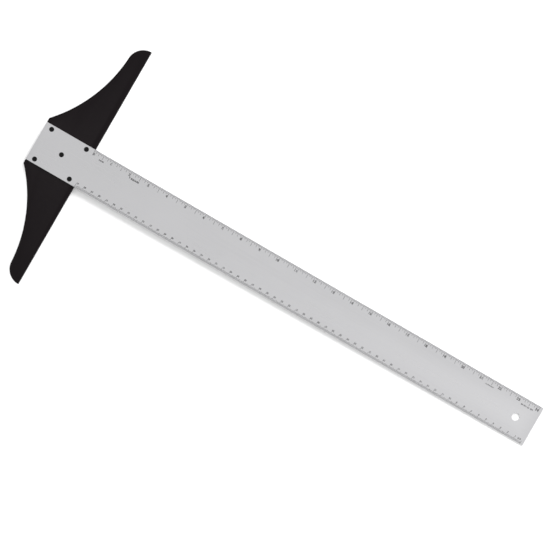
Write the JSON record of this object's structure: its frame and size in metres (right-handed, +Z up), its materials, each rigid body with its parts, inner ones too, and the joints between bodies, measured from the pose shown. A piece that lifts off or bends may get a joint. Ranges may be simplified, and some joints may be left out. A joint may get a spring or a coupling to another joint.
{
  "type": "t square",
  "caption": "T-square for technical drawing: a thin aluminium ruled blade fixed on a black moulded plastic head with hollowed wings, held by flush plastic rivets.",
  "frame": {"origin": "where the blade's centre line crosses the head's working edge, at the height of the blade's underside, which is the top surface of the drawing board that the tool is used on", "axes": "+X along the blade from the head's working edge to the free end; +Y towards the inch scale's edge of the blade; +Z up, out of the drawing board"},
  "size_m": [0.6801, 0.3174, 0.0061],
  "materials": {
    "blade_aluminium": "satin anodised, with a fine grain along the blade and black printed scales",
    "head_plastic": "fine moulded texture",
    "rivet_plastic": "smooth matt"
  },
  "bodies": {
    "root": {"blade": "blade_aluminium", "head": "head_plastic", "rivet_centre": "rivet_plastic", "rivet_front_upper": "rivet_plastic", "rivet_front_lower": "rivet_plastic", "rivet_back_upper": "rivet_plastic", "rivet_back_lower": "rivet_plastic"}
  },
  "joints": []
}
